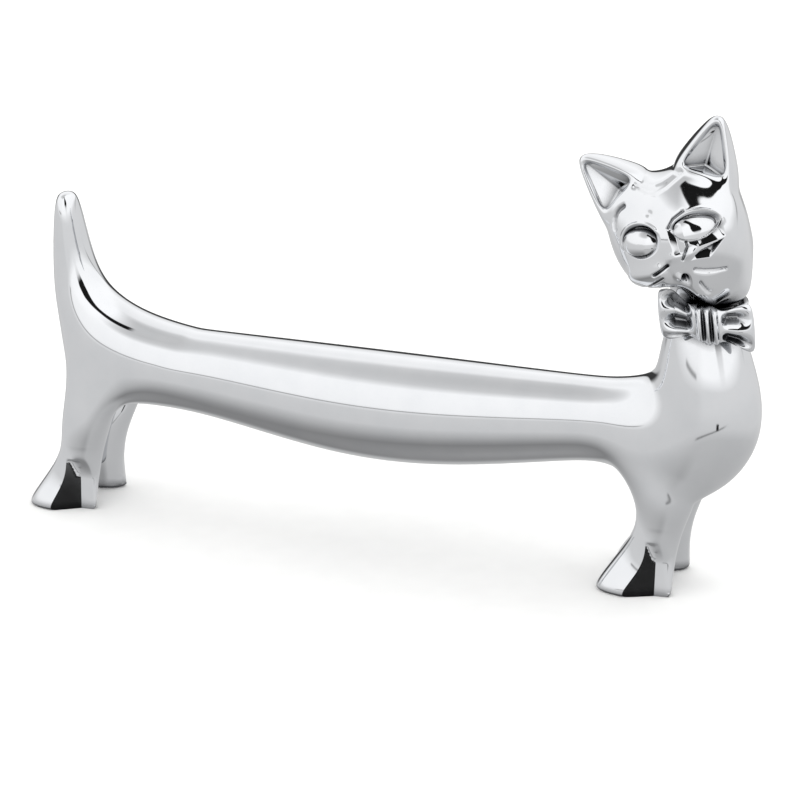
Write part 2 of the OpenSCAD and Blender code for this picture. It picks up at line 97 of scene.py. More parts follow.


# Chrome plate over a zinc casting that was buffed by hand: a hard mirror that sways a little
# where the wheel lingered, with a breath of polishing haze. Tight recesses get a painted shade:
# their colour is darkened where an occlusion test finds little room around them.
def chromePlate():
    c = chromeFinish
    material, tree = newMaterial("polishedChromePlate")
    place = addNode(tree, "ShaderNodeTexCoord").outputs["Object"]
    haze = addNode(tree, "ShaderNodeTexNoise", {"Scale": 1 / (c["hazeSize"] * mm), "Detail": 4.0},
                   {"Vector": place})
    sway = addNode(tree, "ShaderNodeTexNoise", {"Scale": 1 / (c["waveSize"] * mm), "Detail": 1.0},
                   {"Vector": place})
    gloss = addNode(tree, "ShaderNodeMapRange",
                    {"From Min": c["hazeSpan"][0], "From Max": c["hazeSpan"][1],
                     "To Min": c["smooth"], "To Max": c["hazy"]},
                    {"Value": haze.outputs["Fac"]})
    tone = addNode(tree, "ShaderNodeValToRGB", links={"Fac": haze.outputs["Fac"]})
    tone.color_ramp.elements[0].color = toLinear(c["colour"])
    tone.color_ramp.elements[1].color = toLinear(c["hazeColour"])
    bump = addNode(tree, "ShaderNodeBump",
                   {"Strength": c["waveStrength"], "Distance": c["waveHeight"] * mm},
                   {"Height": sway.outputs["Fac"]})
    # painted shade: where the occlusion test finds a tight recess, the colour goes towards the dark recess
    # colour
    recessOcclusion = addNode(tree, "ShaderNodeAmbientOcclusion", {"Distance": c["recessShadeReach"] * mm}, samples=8)
    unshadedShare = addNode(tree, "ShaderNodeMapRange",
                      {"From Min": c["recessShadeSpan"][0], "From Max": c["recessShadeSpan"][1]},
                      {"Value": recessOcclusion.outputs["AO"]})
    plate = addNode(tree, "ShaderNodeMix", {"A": toLinear(c["recessShadeColour"])},
                    {"Factor": unshadedShare.outputs["Result"], "B": tone.outputs["Color"]}, data_type="RGBA")
    surface = addNode(tree, "ShaderNodeBsdfPrincipled", {"Metallic": 1.0},
                      {"Base Color": plate.outputs["Result"], "Roughness": gloss.outputs["Result"],
                       "Normal": bump.outputs["Normal"]})
    addNode(tree, "ShaderNodeOutputMaterial", links={"Surface": surface.outputs["BSDF"]})
    return material


pinFinish = {"colour": "9B9DA1", "lineColour": "85878B", "lineGap": 0.25}


# Bare steel pin, ground between wheels: fine lines run round it and blur the shine.
def groundSteel():
    c = pinFinish
    material, tree = newMaterial("groundSteelPin")
    place = addNode(tree, "ShaderNodeTexCoord").outputs["Object"]
    turn = addNode(tree, "ShaderNodeMapping", {"Scale": (0.05, 0.05, 1.0)}, {"Vector": place})
    lines = addNode(tree, "ShaderNodeTexNoise", {"Scale": 1 / (c["lineGap"] * mm), "Detail": 3.0},
                    {"Vector": turn.outputs["Vector"]})
    tone = addNode(tree, "ShaderNodeValToRGB", links={"Fac": lines.outputs["Fac"]})
    tone.color_ramp.elements[0].color = toLinear(c["lineColour"])
    tone.color_ramp.elements[1].color = toLinear(c["colour"])
    bump = addNode(tree, "ShaderNodeBump", {"Strength": 0.2, "Distance": 0.02 * mm},
                   {"Height": lines.outputs["Fac"]})
    surface = addNode(tree, "ShaderNodeBsdfPrincipled", {"Metallic": 1.0, "Roughness": 0.32},
                      {"Base Color": tone.outputs["Color"], "Normal": bump.outputs["Normal"]})
    addNode(tree, "ShaderNodeOutputMaterial", links={"Surface": surface.outputs["BSDF"]})
    return material


paperFinish = {"colour": "F7F7F6", "fibreColour": "F1F1F0", "fibreSize": 4.0}


# Matt white background paper: no shine, only a faint cloud of fibre.
def backdropPaper():
    c = paperFinish
    material, tree = newMaterial("mattPaper")
    place = addNode(tree, "ShaderNodeTexCoord").outputs["Object"]
    fibre = addNode(tree, "ShaderNodeTexNoise", {"Scale": 1 / (c["fibreSize"] * mm), "Detail": 3.0},
                    {"Vector": place})
    tone = addNode(tree, "ShaderNodeValToRGB", links={"Fac": fibre.outputs["Fac"]})
    tone.color_ramp.elements[0].color = toLinear(c["fibreColour"])
    tone.color_ramp.elements[1].color = toLinear(c["colour"])
    surface = addNode(tree, "ShaderNodeBsdfPrincipled", {"Roughness": 0.9},
                      {"Base Color": tone.outputs["Color"]})
    addNode(tree, "ShaderNodeOutputMaterial", links={"Surface": surface.outputs["BSDF"]})
    return material


chrome = chromePlate()
print("materials ready")


# Pieces are drawn in millimetres round the cat's middle plane, then set in the frame.

def smoothed(bm, levels):
    draft = bpy.data.meshes.new("draft")
    bm.to_mesh(draft)
    holder = bpy.data.objects.new("draft", draft)
    bpy.context.scene.collection.objects.link(holder)
    skin = holder.modifiers.new("Subdivision", "SUBSURF")
    skin.levels = skin.render_levels = levels
    ready = holder.evaluated_get(bpy.context.evaluated_depsgraph_get())
    bm.clear()
    bm.from_mesh(ready.data)
    bpy.data.objects.remove(holder)
    bpy.data.meshes.remove(draft)


def finishPiece(bm, name, node):
    bmesh.ops.transform(bm, verts=bm.verts,
                        matrix=Matrix.Scale(mm, 4) @ Matrix.Translation((0, standY, 0)))
    bmesh.ops.recalc_face_normals(bm, faces=bm.faces)
    for face in bm.faces:
        face.smooth = True
    mesh = bpy.data.meshes.new(name)
    bm.to_mesh(mesh)
    bm.free()
    mesh.materials.append(chrome)
    piece = bpy.data.objects.new(name, mesh)
    bpy.context.scene.collection.objects.link(piece)
    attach(piece, "root")
    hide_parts(node)
    print(name, "made with", len(mesh.polygons), "faces")


# A ring's matrix takes a unit circle to an oval that stands across the run.
def ringPlace(top, bottom, width):
    (topX, topZ), (lowX, lowZ) = top, bottom
    long = Vector((topX - lowX, 0, topZ - lowZ)) * ringGain / 2
    side = Vector((0, ringGain * width / 2, 0))
    place = Matrix((long, side, long.cross(side).normalized())).transposed().to_4x4()
    place.translation = ((topX + lowX) / 2, 0, (topZ + lowZ) / 2)
    return place


# Draws one skin through a list of rings and gives back the faces of each stretch.
def drawRun(bm, rings):
    made = bmesh.ops.create_circle(bm, segments=8, radius=1,
                                   matrix=rings[0] @ Matrix.Rotation(math.radians(22.5), 4, "Z"))
    edges = list({e for v in made["verts"] for e in v.link_edges})
    bmesh.ops.contextual_create(bm, geom=edges)
    stretches = []
    for old, new in zip(rings, rings[1:]):
        seen = set(bm.faces)
        verts = newVerts(bmesh.ops.extrude_edge_only(bm, edges=edges))
        bmesh.ops.transform(bm, matrix=new @ old.inverted(), verts=verts)
        fresh = set(verts)
        edges = [e for e in {e for v in verts for e in v.link_edges} if fresh.issuperset(e.verts)]
        stretches.append([f for f in bm.faces if f not in seen])
    bmesh.ops.contextual_create(bm, geom=edges)
    return stretches


# Body casting: tail, rump, long torso, chest and neck in one run, four legs out of its sides
bodyCast = {
    "chestX": 49.2, "backHeight": 25.5,
    "waistDepth": 10.4, "bellyDepth": 14.2, "loinDepth": 10.5, "rumpWidth": 11.4,
    "tailX": -44.2, "tailHeight": 42.6, "tailThick": 4.1, "tailSweep": 6.1,
    "chestWidth": 14.0, "breastDepth": 15.0, "chestSwell": 1.0,
    "neckBase": 10.0, "neckRise": 10.5, "seatHeight": 1.6,
    "hindToe": -39.4, "foreToe": 40.1, "legTrack": 9.4, "legLean": 2.2,
    "ankleThick": 5.8, "ankleHeight": 8.0, "ankleTuck": 1.4,
    "pawLength": 9.8, "pawWidth": 5.2, "pawRim": 0.8,
    # flat filed on the outer side of a paw: its height, where it narrows, its start, end and
    # upper end behind the toe
    "flatTop": 6.9, "flatBend": 4.5, "flatStart": 5.1, "flatEnd": 2.1, "flatPoint": 3.0,
    # how far out it starts, how fast it draws in on fore and hind paws, how far it leans, and
    # from what angle its edge stays sharp
    "flatOut": 6.88, "foreSlope": 0.51, "hindSlope": 0.67, "flatLean": 0.055, "flatEdge": 0.16,
    # the toe past the flat: how fast it draws in, and how it comes out again towards the ankle
    "toeSlope": 0.1, "toeReturn": 0.4, "returnRun": 1.5, "toeReach": 2.0,
    # how far in from the outside file and buff reach, and where the buff stays off
    "fileReach": 3.6, "buffReach": 2.5, "buffSole": 0.5, "buffOff": 0.2, "buffLean": 0.3, "buffs": 12,
    "loinReach": 14.0, "waistReach": 13.0, "bellySpread": 0.3, "sliver": 0.001, "soleSkin": 0.01, "levels": 4,
}


def bodyRings():
    b = bodyCast
    back, tailX, tail, sweep = b["backHeight"], b["tailX"], b["tailThick"], b["tailSweep"]
    rump, loin, waist, breast = b["rumpWidth"], b["loinDepth"], b["waistDepth"], b["breastDepth"]
    foreToe, paw, base = b["foreToe"], b["pawLength"], b["neckBase"]
    neckX, thick, seatZ, seat = neck["x"], neck["thick"], neck["height"], b["seatHeight"]
    loinX, waistX = b["hindToe"] + b["loinReach"], foreToe - b["waistReach"]
    bellyX = (loinX + waistX) / 2

    def torso(x, depth):
        return ringPlace((x, back), (x, back - depth), depth)

    # top, bottom and width of each ring, from the tail's tip to the neck's seat
    return [
        ringPlace((tailX + 0.25 * tail, b["tailHeight"]),
                  (tailX - 0.2 * tail, b["tailHeight"]), 0.62 * tail),
        ringPlace((tailX + 0.42 * tail, b["tailHeight"] - 0.49 * tail),
                  (tailX - 0.36 * tail, b["tailHeight"] - 0.41 * tail), 1.2 * tail),
        ringPlace((tailX + 0.56 * sweep, back + sweep),
                  (tailX - tail / 2, back + 0.82 * sweep), mix(tail, rump, 0.38)),
        ringPlace((tailX + 1.13 * sweep, back + 0.43 * sweep), (tailX - 0.3 * tail, back), 0.8 * rump),
        ringPlace((tailX + 1.97 * sweep, back + 0.13 * sweep),
                  (tailX - 0.15 * tail, back - 0.57 * loin), rump),
        ringPlace((tailX + 2.95 * sweep, back),
                  (b["hindToe"] + 1.27 * b["legLean"], back - 1.04 * loin), 1.02 * rump),
        torso(loinX, loin),
        torso(mix(bellyX, loinX, b["bellySpread"]), b["bellyDepth"]),
        torso(mix(bellyX, waistX, b["bellySpread"]), b["bellyDepth"]),
        torso(waistX, waist),
        ringPlace((foreToe - 0.94 * paw, back + 0.02 * waist),
                  (foreToe - 0.86 * paw, back - 0.98 * waist), mix(waist, b["chestWidth"], 0.17)),
        ringPlace((foreToe - 0.5 * paw, back + 0.08 * breast),
                  (foreToe + 0.35 * paw, back - breast), 0.96 * b["chestWidth"]),
        ringPlace((neckX - 0.53 * base, back + 0.21 * breast),
                  (b["chestX"] + b["chestSwell"], back - 0.37 * breast), b["chestWidth"]),
        ringPlace((neckX - 0.5 * base, back + 0.57 * b["neckRise"]),
                  (neckX + 0.63 * base, back + 0.38 * b["neckRise"]), 1.12 * base),
        ringPlace((neckX - 0.5 * thick, seatZ - 1.1 * seat),
                  (neckX + 0.5 * thick, seatZ - 1.1 * seat), thick),
        ringPlace((neckX - 0.44 * thick, seatZ - 0.18 * seat),
                  (neckX + 0.44 * thick, seatZ - 0.18 * seat), 0.88 * thick),
    ]


# One step of a leg: the face is drawn out and its corners are set to the next outline.
def stepLeg(bm, face, side, heel, toe, height, width, tuck):
    face = bmesh.ops.extrude_discrete_faces(bm, faces=[face])["faces"][0]
    middle = face.calc_center_median()
    for vert in face.verts:
        alongX = math.copysign(squareGain * (toe - heel) / 2, vert.co.x - middle.x)
        alongY = math.copysign(squareGain * width / 2, vert.co.y - middle.y)
        vert.co = ((heel + toe) / 2 + alongX, side * (bodyCast["legTrack"] / 2 - tuck) + alongY, height)
    return face


def drawLeg(bm, stretch, toe, side):
    b = bodyCast
    ankle, high, tuck = b["ankleThick"], b["ankleHeight"], b["ankleTuck"]
    rim, width = b["pawRim"], b["pawWidth"]
    heel, calf = toe - b["pawLength"], toe - 0.88 * ankle
    # a leg starts from the lowest face on its side
    face = max((f for f in stretch if f.is_valid),
               key=lambda f: side * f.calc_center_median().y - f.calc_center_median().z)
    # heel, toe, height, width and how far the leg is drawn in
    for outline in (
        (calf, toe + b["legLean"], 1.5 * high, 0.95 * ankle, 0.7 * tuck),
        (calf, toe + 0.27 * b["legLean"], high, 0.78 * ankle, tuck),
        (mix(calf, heel, 0.52), toe, 0.52 * high, 0.8 * ankle, 0.85 * tuck),
        (heel, toe, rim, width, 0),
        (heel, toe, 0, width, 0),
        (heel + rim, toe - rim, 0, width - 2 * rim, 0),
    ):
        face = stepLeg(bm, face, side, *outline)


# The outer side of each paw is filed flat from a ridge on, and past the flat it runs on to the toe.
def filePaw(bm, toe, side, slope):
    b = bodyCast
    start, edge, tip = toe - b["flatStart"], toe - b["flatEnd"], toe + b["toeReach"]
    planes = ((Vector((start, side * b["flatOut"], 0)), Vector((slope, side, b["flatLean"])).normalized()),
              (Vector((edge, 0, 0)), Vector((1, 0, 0))))

    def nearFlat(spot):
        filed = side * spot.y > b["fileReach"] and spot.z < b["flatTop"]
        return filed and toe - b["pawLength"] < spot.x < tip

    def pastFlat(spot):
        buffed = side * spot.y > b["buffReach"] and b["buffSole"] < spot.z < b["flatTop"] + b["toeReach"]
        above = max(0, spot.z - b["flatBend"])
        return buffed and edge + b["buffOff"] - above * b["buffLean"] < spot.x < tip

    cuts = []
    for spot, normal in planes:
        faces = [f for f in bm.faces if nearFlat(f.calc_center_median())]
        edges, verts = {e for f in faces for e in f.edges}, {v for f in faces for v in f.verts}
        cuts += bmesh.ops.bisect_plane(bm, geom=faces + list(edges) + list(verts), dist=0.0001,
                                       plane_co=spot, plane_no=normal)["geom_cut"]
    for vert in [v for v in bm.verts if nearFlat(v.co)]:
        narrow = max(0, vert.co.z - b["flatBend"]) / (b["flatTop"] - b["flatBend"])
        off = vert.co.x - start
        flat = min(off, b["flatStart"] - mix(b["flatEnd"], b["flatPoint"], narrow))
        limit = b["flatOut"] - slope * flat - b["toeSlope"] * (off - flat) - b["flatLean"] * vert.co.z
        limit += b["toeReturn"] * narrow * narrow * ease(0, b["returnRun"], off - flat)
        vert.co.y = side * min(side * vert.co.y, limit)
    # past the flat the file marks are buffed away
    soft = [v for v in bm.verts if pastFlat(v.co)]
    for turn in range(b["buffs"]):
        bmesh.ops.smooth_vert(bm, verts=soft, factor=0.5, use_axis_y=True)
    bm.normal_update()
    for line in cuts:
        if isinstance(line, bmesh.types.BMEdge) and max(v.co.x for v in line.verts) < edge + 0.01:
            line.smooth = line.calc_face_angle(0) < b["flatEdge"]


# The file leaves slivers without width on the soles, and points between two edges over which faces fold.
def clearSlivers(bm):
    low = [e for e in bm.edges if all(v.co.z < bodyCast["soleSkin"] for v in e.verts)]
    bmesh.ops.dissolve_degenerate(bm, dist=bodyCast["sliver"], edges=low)
    loose = [v for v in bm.verts if v.co.z < bodyCast["soleSkin"] and len(v.link_edges) == 2]
    bmesh.ops.dissolve_verts(bm, verts=loose)


def makeBody():
    bm = bmesh.new()
    stretches = drawRun(bm, bodyRings())
    haunch, shoulder = stretches[4], stretches[10]
    for stretch, toe in ((haunch, bodyCast["hindToe"]), (shoulder, bodyCast["foreToe"])):
        for side in (1, -1):
            drawLeg(bm, stretch, toe, side)
    smoothed(bm, bodyCast["levels"])
    for side in (1, -1):
        filePaw(bm, bodyCast["foreToe"], side, bodyCast["foreSlope"])
        filePaw(bm, bodyCast["hindToe"], side, bodyCast["hindSlope"])
    clearSlivers(bm)
    finishPiece(bm, "bodyCasting", "body_casting")


makeBody()


# Head casting: a ball of sixteen cells to a side, drawn out into ears and neck, then the face is worked in
headCast = {
    "width": 16.0, "depth": 15.4, "height": 13.2, "rise": 11.5, "shift": 0.4, "forward": 1.3,
    "tilt": 20.0, "yaw": 6.0, "ballGain": 1.05, "ballDrop": 0.06, "chinTaper": 0.12, "levels": 4,
    # muzzle, cheeks and chin swell out of the ball: share of its radius, direction, spread in degrees
    "swells": ((0.0779, (0, -0.9, -0.42), 27), (0.06, (0.75, -0.5, -0.45), 26),
               (0.06, (-0.75, -0.5, -0.45), 26), (0.27, (-0.36, -0.52, -0.78), 30)),
    "crownRise": 0.085, "browRise": 0.09, "browBack": 1.0,
    "jowlReach": 1.5, "jowlFoot": 7.0, "jowlStep": 3.0,
    "earSpread": 17.4, "earRise": 10.97, "earTipY": -0.8, "earGap": 2.0, "earDepth": 5.2,
    "earTipDepth": 1.5, "earMeet": 0.62, "earFlare": 1.05, "earForward": 0.8,
    "rootForward": 1.4, "rootRise": 0.6,
    "earRim": 0.5, "earSink": 0.9, "hollowRise": 0.9, "foldSink": 1.6,
    "throatRise": 2.4, "throatLean": 1.5, "throatSwell": 1.1, "throatFlare": 0.65,
    # the jaw's hang: how far, where along the neck, from which height to which, over what lengths it fades
    "jawDrop": 1.9, "jawShift": 1.5, "jawSpread": 1.8, "jawTop": 8.2, "jawFoot": 2.2,
    "jawFade": 2.7, "jawFootFade": 1.4, "jawFront": (-1.0, -3.5), "jawBuffs": 8, "jawBuffTop": 6.0,
}
leanHead = Matrix.Rotation(math.radians(-headCast["tilt"]), 4, "Y")
turnHead = Matrix.Rotation(math.radians(headCast["yaw"]), 4, "Z")
headPlace = Matrix.Translation((
    neck["x"] + headCast["shift"] - headCast["rise"] * math.sin(math.radians(headCast["tilt"])),
    -headCast["forward"],
    neck["height"] + headCast["rise"] * math.cos(math.radians(headCast["tilt"])))) @ leanHead @ turnHead
toHead = headPlace.inverted()


def gridOf(vert):
    return tuple(round((c + 1) * 2) for c in vert.co)


def headPoint(cell):
    h = headCast
    ray = Vector([math.tan(math.radians((c / 2 - 1) * 45)) for c in cell]).normalized()

    def swell(middle, spread):
        return bell(math.degrees(ray.angle(Vector(middle))), 0, spread)

    push = 1 + sum(reach * swell(middle, spread) for reach, middle, spread in h["swells"])
    taper = 1 - h["chinTaper"] * max(0, -ray.z)
    point = Vector((ray.x * taper * h["width"], ray.y * h["depth"], ray.z * h["height"]))
    point = point * push * h["ballGain"] / 2 - Vector((0, 0, h["ballDrop"] * h["height"]))
    # crown, brow and ear roots are drawn out of the ball's top cells
    if cell[2] == 4 and cell[0] in (1, 3) and 0 < cell[1] < 4:
        point.x *= h["earMeet"]
    if cell[2] == 4 and 0 < cell[0] < 4 and 0 < cell[1] < 4:
        share = (0.2 if cell[0] == 2 else 1) * (0.6 if cell[1] == 1 else 1)
        point.z += h["height"] * h["crownRise"] * share
    if cell[1] == 0 and cell[2] == 4:
        corner = cell[0] in (0, 4)
        point.y += h["browBack"] * (0.75 if corner else 1)
        point.z += h["height"] * h["browRise"] * (0.6 if corner else 1)
    if cell[1] == 1 and (cell[0] in (0, 4) and cell[2] > 2 or cell[0] in (1, 3) and cell[2] == 4):
        corner = cell[0] in (0, 4) and cell[2] == 4
        point.y -= h["rootForward"] * (1 if corner else 0.55)
        point.z += h["rootRise"] if corner else 0
    if cell[2] == 3 and cell[0] in (0, 4) and 0 < cell[1] < 4:
        point.x *= h["earFlare"]
    # the cheek over the long side of the neck comes down to it in one line
    slide = {4: 1, 3: 0.4}.get(cell[0], 0) * {0: 0.85, 1: 0.45}.get(cell[2], 0)
    line = Vector((neck["x"] + neck["thick"] / 2 + h["jowlReach"], point.y * 0.8,
                   neck["height"] + h["jowlFoot"] + h["jowlStep"] * cell[2]))
    return mix(point, toHead @ line, slide)


def earTip(side):
    return Vector((side * headCast["earSpread"] / 2, headCast["earTipY"], headCast["earRise"]))


# Goals of one loop round the ear at +x: share of the way to its tip, hollow at the front, growth
def earLoop(t, hollow, grow):
    h = headCast
    tip = earTip(1)
    inner = mix(Vector((h["earGap"] / 2, 0, 0.48 * h["height"])), tip, t) - Vector((grow, 0, 0))
    outer = mix(Vector((0.507 * h["width"], 0, 0.145 * h["height"])), tip, t) + Vector((grow, 0, 0))
    half = mix(h["earDepth"], h["earTipDepth"], t) / 2
    front, back = Vector((0, -half - h["earForward"] * (1 - t), 0)), Vector((0, half + 0.4, 0))
    middle, lift = (inner + outer) / 2, h["hollowRise"] * (1 - t)
    return {
        (3, 1, 4): inner + front, (4, 1, 4): middle + front + Vector((0.5 * lift, hollow, lift)),
        (4, 1, 3): outer + front, (4, 2, 3): outer + Vector((0.4, 0, 0)),
        (4, 3, 3): outer + back + Vector((0.5, 0, 0)), (4, 3, 4): middle + back + Vector((0, 0.4, 0.3)),
        (3, 3, 4): inner + back + Vector((-0.2, 0, 0.6)), (3, 2, 4): inner + Vector((0, 0, 0.5)),
        (4, 2, 4): tip,
    }


def neckPoint(cell, height, thick, flare=0.0, slope=(0, 0)):
    if cell[:2] == (2, 2):
        return toHead @ Vector((neck["x"], 0, height))
    x, y = Vector((cell[0] - 2, cell[1] - 2)).normalized()
    reach = ringGain * (thick / 2 + flare * x)
    return toHead @ Vector((neck["x"] + reach * x, reach * y, height + slope[0] * x + slope[1] * y))


def drawHead(bm):
    h = headCast
    top = neck["height"] + neck["collarHalf"]
    bmesh.ops.create_cube(bm, size=2)
    bmesh.ops.subdivide_edges(bm, edges=bm.edges, cuts=3, use_grid_fill=True)
    goal = {}
    for vert in bm.verts:
        cell = gridOf(vert)
        goal[vert] = headPoint(cell)
        if cell[2] == 0 and max(abs(cell[0] - 2), abs(cell[1] - 2)) == 1:
            goal[vert] = neckPoint(cell, top + h["throatRise"], neck["thick"] + h["throatSwell"],
                                   h["throatFlare"], (-h["throatLean"], -0.2 * h["throatLean"]))

    def growLoop(middle, goalOf):
        pole = next(v for v in bm.verts if gridOf(v) == middle)
        old = list(pole.link_faces)
        made = newVerts(bmesh.ops.extrude_face_region(bm, geom=old))
        bmesh.ops.delete(bm, geom=old, context="FACES")
        for vert in made:
            goal[vert] = goalOf(gridOf(vert))

    for side in (1, -1):
        def earGoal(loop):
            def goalOf(cell):
                point = loop[(cell[0] if side > 0 else 4 - cell[0], cell[1], cell[2])]
                return Vector((side * point.x, point.y, point.z))
            return goalOf
        middle = (4 if side > 0 else 0, 2, 4)
        growLoop(middle, earGoal(earLoop(0.1, 0, 0)))
        growLoop(middle, earGoal(earLoop(0.88, 0.1, 0.3)))
    # the neck's end inside the collar
    for height, thick in ((top + 0.2, neck["thick"] - 0.1), (neck["height"] + 0.6, neck["thick"] - 0.6)):
        growLoop((2, 2, 0), lambda cell: neckPoint(cell, height, thick))
    # the two front faces of each ear, before the points leave the grid
    fronts = []
    for side in (4, 0):
        fronts.append([f for f in bm.faces if len({gridOf(v) for v in f.verts}) == 2
                       and (side, 1, 4) in {gridOf(v) for v in f.verts}])
    for vert in bm.verts:
        vert.co = goal[vert]
    return fronts


def hollowEars(bm, fronts):
    h = headCast
    crease = bm.edges.layers.float.new("crease_edge")
    corner = bm.verts.layers.float.new("crease_vert")
    for faces in fronts:
        bm.normal_update()
        upper = [f for f in faces if f.calc_center_median().z > h["earRise"] * 0.55]
        bmesh.ops.inset_region(bm, faces=upper, thickness=h["earRim"], depth=-h["earSink"],
                               use_even_offset=True, use_boundary=True)
        # the hollow runs out to the forehead with hardly a rim
        tip = earTip(math.copysign(1, upper[0].calc_center_median().x))
        spots = sorted({v for f in upper for v in f.verts}, key=lambda v: (v.co - tip).length)
        fold = next(e for e in upper[0].edges if e in set(upper[1].edges))
        low, high = sorted(fold.verts, key=lambda v: v.co.z)
        down = (low.co - high.co).normalized()
        for vert in spots[-3:]:
            vert.co += down * h["earRim"] * 0.8
        low.co.y += h["foldSink"]
        for edge in {e for f in upper for e in f.edges}:
            edge[crease] = 1
        for vert in spots:
            vert[corner] = 1


# What is worked into the face, in the head's own x and z
faceMarks = {
    "eyes": ({"side": 1, "x": 3.33, "z": 0.02, "half": 2.5, "tall": 1.38, "slant": -0.08, "rise": 0.06,
              "lean": 0.16, "turn": 0.13, "crease": 0.0},
             {"side": -1, "x": 3.36, "z": 0.1, "half": 2.05, "tall": 1.6, "slant": 0.0, "rise": 0.55,
              "lean": 0.2, "turn": -0.25, "crease": 0.35}),
    "eyeSink": 0.2, "lidRise": 0.2, "lidAt": 0.36, "lidSpread": 0.2, "creaseWide": 0.5,
    "grooveSpread": 0.14, "underSlope": 0.25, "underFade": 0.5,
    # nose and the dent over the brow: rise, place and spread along x, place and spread along z
    "swells": ((0.15, (0, 0.85), (-2.6, 0.55)), (-0.25, (-1.56, 0.45), (2.81, 0.4))),
    # shelf under the left eye: rise, place and spread along z, how it fades at both ends
    "shelf": (0.5, (-3.9, 1.1), (-0.9, -2.0), (-6.8, -5.6)),
    # bag under the right eye: rise, place, half sizes, turn in degrees, spread
    "bag": (0.3, (2.0, -2.75), (1.0, 0.5), 22, 0.8),
    # dot on the upper lip: rise, place, spread
    "dot": (0.35, (-0.04, -4.97), 0.4),
    # furrow down the side of the nose: x, half widths, depth at its top and foot, top and foot
    "furrow": {"x": 0.95, "left": 0.8, "right": 0.9, "deep": (0.5, 0.25), "z": (0.7, -2.4)},
    # pits that are deepest under their top line and run out at their foot:
    # slope, top line, foot line, wall on the right
    "pits": ((0.36,
              ((1.3, -0.75), (2.1, -1.3), (3.2, -1.52), (4.2, -1.52), (5.2, -1.2), (5.8, -0.75),
               (6.2, -0.1)),
              ((1.3, -1.0), (1.9, -1.45), (3.2, -2.3), (6.2, -2.3)),
              ((6.2, -0.1), (6.2, -2.3))),
             (0.58,
              ((1.7, -3.6), (2.4, -3.1), (3.2, -2.75), (4.75, -2.5), (5.9, -2.4)),
              ((1.7, -3.6), (2.4, -3.64), (3.88, -4.02), (5.9, -4.55)),
              ((5.9, -2.4), (3.88, -4.1)))),
    "pitWall": 0.4,
    # cut lines: depth, half width, both sides, points
    "cuts": ((0.5, 0.17, False, ((-0.96, -3.38), (-2.69, -3.97))),
             (0.3, 0.14, False, ((1.92, -1.32), (1.91, -1.91), (0.97, -3.17))),
             (0.9, 0.36, False, ((0.56, -5.2), (0.66, -5.22))),
             (0.35, 0.14, True, ((1.91, -4.59), (3.48, -5.23), (4.96, -5.91))),
             (0.25, 0.16, True, ((2.25, -5.61), (2.97, -6.7))),
             (0.3, 0.16, False, ((0.33, 0.85), (1.1, 1.6), (2.4, 2.1))),
             (0.45, 0.22, False, ((-6.4, 1.9), (-6.33, 2.5), (-6.1, 3.1), (-5.75, 3.55), (-5.3, 3.9),
                                  (-4.7, 4.15))),
             (0.3, 0.35, False, ((-2.8, 6.0), (-1.4, 5.2), (-0.4, 4.95), (0.8, 5.2), (2.8, 6.0)))),
    # the face takes finer quads before it is worked: limits of each finer zone along y, x and z
    "zones": ((-3.7, 6.4, (-7.0, 4.5)), (-5.0, 6.25, (-6.8, 2.15))), "zoneRim": 0.2, "zoneBuffs": 2,
    # how the work fades towards the sides of the head
    "sideFade": (-0.5, -3.0), "turnFade": (0.1, 0.45),
}


def lineDistance(x, z, line):
    spot, best = Vector((x, z)), 99
    for start, end in zip(line, line[1:]):
        a, run = Vector(start), Vector(end) - Vector(start)
        t = min(1, max(0, (spot - a).dot(run) / run.length_squared))
        best = min(best, (spot - a - run * t).length)
    return best


def heightOn(line, x):
    for (startX, startZ), (endX, endZ) in zip(line, line[1:]):
        if startX <= x <= endX:
            return mix(startZ, endZ, (x - startX) / (endX - startX))
    return None


def pitDepth(x, z, pit):
    slope, top, foot, (wallTop, wallFoot) = pit
    high, low = heightOn(top, x), heightOn(foot, x)
    if high is None or not low < z < high:
        return 0
    along = (z - wallFoot[1]) / (wallTop[1] - wallFoot[1])
    room = mix(wallFoot[0], wallTop[0], max(0, along)) - x
    return slope * (z - low) * ease(0, faceMarks["pitWall"], room)


def eyeLift(x, z, eye):
    f = faceMarks
    u = eye["side"] * x - eye["x"]
    w = z - eye["z"] - eye["slant"] * u
    share = max(0.001, math.hypot(u / eye["half"], w / eye["tall"]))
    if share < 1:
        ball = (eye["rise"] + f["eyeSink"]) * (1 - share * share) - f["eyeSink"]
        return ball - eye["lean"] * w - eye["turn"] * u
    # round the ball, lid and groove above give way to a crease below
    d = math.hypot(u, w) * (1 - 1 / share)
    below = ease(f["underFade"], -f["underFade"], w + f["underSlope"] * u)
    lift = (1 - below) * f["lidRise"] * bell(d, f["lidAt"], f["lidSpread"])
    lift -= (1 - below) * (f["eyeSink"] + eye["lean"] * eye["tall"]) * bell(d, 0, f["grooveSpread"])
    return lift - below * eye["crease"] * max(0, 1 - d / f["creaseWide"])


def furrowLift(x, z):
    g = faceMarks["furrow"]
    top, foot = g["z"]
    off = x - g["x"]
    share = max(0, 1 + off / g["left"]) if off < 0 else max(0, 1 - off / g["right"])
    deep = mix(*g["deep"], min(1, max(0, (top - z) / (top - foot))))
    return -deep * share * ease(top + 0.4, top - 0.2, z) * ease(foot - 0.3, foot + 0.1, z)


